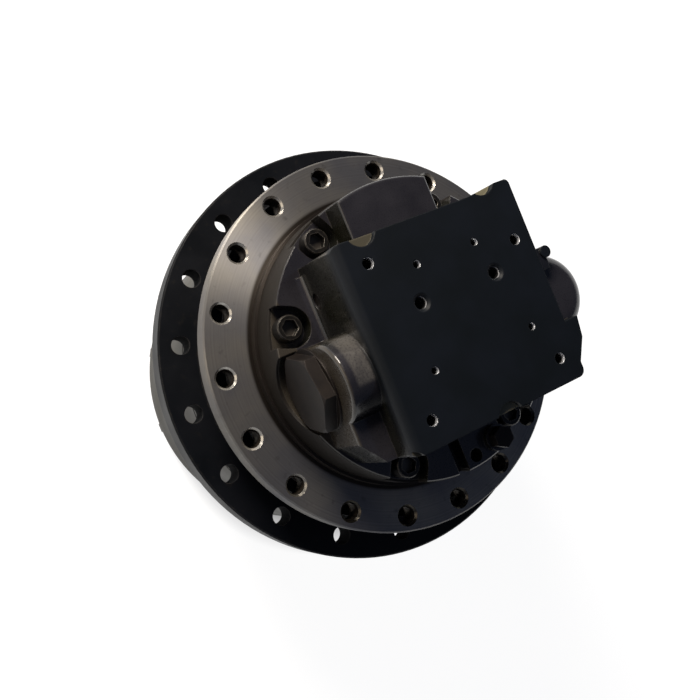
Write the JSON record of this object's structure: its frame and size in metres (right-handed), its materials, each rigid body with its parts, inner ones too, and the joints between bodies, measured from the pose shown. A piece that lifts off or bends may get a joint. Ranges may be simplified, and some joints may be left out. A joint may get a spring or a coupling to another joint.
{
  "type": "excavator final drive",
  "caption": "Track final drive: a hydraulic travel motor in the spindle of a planetary gearbox whose flanged hub turns the sprocket.",
  "frame": {"origin": "on the drive's axis, in the face of the flange that bolts to the track frame", "axes": "+Z along the axis to the motor end, so the drive stands on its end cover; the valve block's walls face +X, -X, +Y and -Y, and the large hexagon plug points to +Y"},
  "size_m": [0.4399, 0.44, 0.464],
  "materials": {
    "flange_iron": "machined",
    "cover_iron": "oiled casting",
    "hub_iron": "phosphated",
    "inner_iron": "as cast",
    "gear_steel": "ground",
    "bearing_steel": "polished",
    "black_steel": "black oxide",
    "plug_steel": "oiled",
    "bronze": "lapped",
    "rubber": "matt"
  },
  "bodies": {
    "frame_side": {"spindle": "flange_iron", "rear_cover": "cover_iron", "rear_cover_screws": "black_steel", "valve_plate": "bronze", "swash_plate": "gear_steel", "swash_cradle": "inner_iron", "shaft_bearing_front": "bearing_steel", "shaft_bearing_rear": "bearing_steel", "shaft_seal": "rubber", "brake_separator_plates": "gear_steel", "brake_springs": "gear_steel", "spool_spring_left": "gear_steel", "spool_spring_right": "gear_steel", "spool_plug_left": "plug_steel", "spool_plug_right": "plug_steel", "speed_spring": "gear_steel", "speed_spool_plugs": "plug_steel", "relief_valve": "plug_steel", "bearing_inner_upper": "bearing_steel", "bearing_inner_lower": "bearing_steel", "bearing_nut": "bearing_steel", "seal_ring_fixed": "bearing_steel", "toric_ring_fixed": "rubber", "carrier_2": "inner_iron", "carrier_2_bolts": "black_steel", "planet_pins_2": "gear_steel", "planet_bearings_2": "bearing_steel"},
    "hub": {"hub": "hub_iron", "ring_gear": "gear_steel", "end_cover": "hub_iron", "end_cover_bolts": "black_steel", "cover_plugs": "black_steel", "thrust_button": "bronze", "bearing_outer_upper": "bearing_steel", "bearing_outer_lower": "bearing_steel", "seal_ring_turning": "bearing_steel", "toric_ring_turning": "rubber"},
    "carrier_1": {"carrier_1": "inner_iron", "sun_gear_2": "gear_steel", "planet_pins_1": "gear_steel", "planet_bearings_1": "bearing_steel"},
    "planet_1a": {"planet_gear_1a": "gear_steel"},
    "planet_1b": {"planet_gear_1b": "gear_steel"},
    "planet_1c": {"planet_gear_1c": "gear_steel"},
    "planet_2a": {"planet_gear_2a": "gear_steel"},
    "planet_2b": {"planet_gear_2b": "gear_steel"},
    "planet_2c": {"planet_gear_2c": "gear_steel"},
    "shaft": {"motor_shaft": "gear_steel", "cylinder_block": "gear_steel", "pistons": "gear_steel", "piston_shoes": "bronze", "retainer_plate": "gear_steel", "ball_guide": "gear_steel", "brake_friction_plates": "bronze", "sun_gear_1": "gear_steel"},
    "rollers_upper": {"bearing_rollers_upper": "bearing_steel"},
    "rollers_lower": {"bearing_rollers_lower": "bearing_steel"},
    "counterbalance_spool": {"counterbalance_spool": "gear_steel"},
    "brake_piston": {"brake_piston": "gear_steel"},
    "speed_spool": {"speed_spool": "gear_steel"}
  },
  "joints": [
    {"name": "hub_spin", "type": "hinge", "parent": "frame_side", "child": "hub", "pos_m": [0, 0, -0.1], "axis": [0, 0, 1], "continuous": true},
    {"name": "carrier_1_spin", "type": "hinge", "parent": "frame_side", "child": "carrier_1", "pos_m": [0, 0, -0.22], "axis": [0, 0, 1], "continuous": true},
    {"name": "planet_1a_spin", "type": "hinge", "parent": "carrier_1", "child": "planet_1a", "pos_m": [0.045, 0.07794, -0.245], "axis": [0, 0, 1], "continuous": true},
    {"name": "planet_1b_spin", "type": "hinge", "parent": "carrier_1", "child": "planet_1b", "pos_m": [-0.09, 0, -0.245], "axis": [0, 0, 1], "continuous": true},
    {"name": "planet_1c_spin", "type": "hinge", "parent": "carrier_1", "child": "planet_1c", "pos_m": [0.045, -0.07794, -0.245], "axis": [0, 0, 1], "continuous": true},
    {"name": "planet_2a_spin", "type": "hinge", "parent": "frame_side", "child": "planet_2a", "pos_m": [0.09, 0, -0.183], "axis": [0, 0, 1], "continuous": true},
    {"name": "planet_2b_spin", "type": "hinge", "parent": "frame_side", "child": "planet_2b", "pos_m": [-0.045, 0.07794, -0.183], "axis": [0, 0, 1], "continuous": true},
    {"name": "planet_2c_spin", "type": "hinge", "parent": "frame_side", "child": "planet_2c", "pos_m": [-0.045, -0.07794, -0.183], "axis": [0, 0, 1], "continuous": true},
    {"name": "shaft_spin", "type": "hinge", "parent": "frame_side", "child": "shaft", "pos_m": [0, 0, -0.05], "axis": [0, 0, 1], "continuous": true},
    {"name": "rollers_upper_orbit", "type": "hinge", "parent": "frame_side", "child": "rollers_upper", "pos_m": [0, 0, -0.077], "axis": [0, 0, 1], "continuous": true},
    {"name": "rollers_lower_orbit", "type": "hinge", "parent": "frame_side", "child": "rollers_lower", "pos_m": [0, 0, -0.113], "axis": [0, 0, 1], "continuous": true},
    {"name": "counterbalance_slide", "type": "slide", "parent": "frame_side", "child": "counterbalance_spool", "axis": [0, 1, 0], "range_m": [-0.008, 0.008], "stiffness_N_per_m": 8000, "deforming": ["spool_spring_left", "spool_spring_right"]},
    {"name": "brake_release", "type": "slide", "parent": "frame_side", "child": "brake_piston", "axis": [0, 0, 1], "range_m": [0, 0.003], "stiffness_N_per_m": 60000, "springref_m": -0.01, "deforming": ["brake_springs"]},
    {"name": "speed_select", "type": "slide", "parent": "frame_side", "child": "speed_spool", "axis": [0, 1, 0], "range_m": [0, 0.006], "stiffness_N_per_m": 3000, "springref_m": -0.004, "deforming": ["speed_spring"]}
  ],
  "couplings": [
    {"joint": "carrier_1_spin", "follows": "hub_spin", "ratio": -4},
    {"joint": "planet_1a_spin", "follows": "hub_spin", "ratio": 13.333},
    {"joint": "planet_1b_spin", "follows": "hub_spin", "ratio": 13.333},
    {"joint": "planet_1c_spin", "follows": "hub_spin", "ratio": 13.333},
    {"joint": "planet_2a_spin", "follows": "hub_spin", "ratio": 2.6667},
    {"joint": "planet_2b_spin", "follows": "hub_spin", "ratio": 2.6667},
    {"joint": "planet_2c_spin", "follows": "hub_spin", "ratio": 2.6667},
    {"joint": "shaft_spin", "follows": "hub_spin", "ratio": -24},
    {"joint": "rollers_upper_orbit", "follows": "hub_spin", "ratio": 0.53324},
    {"joint": "rollers_lower_orbit", "follows": "hub_spin", "ratio": 0.53324}
  ]
}
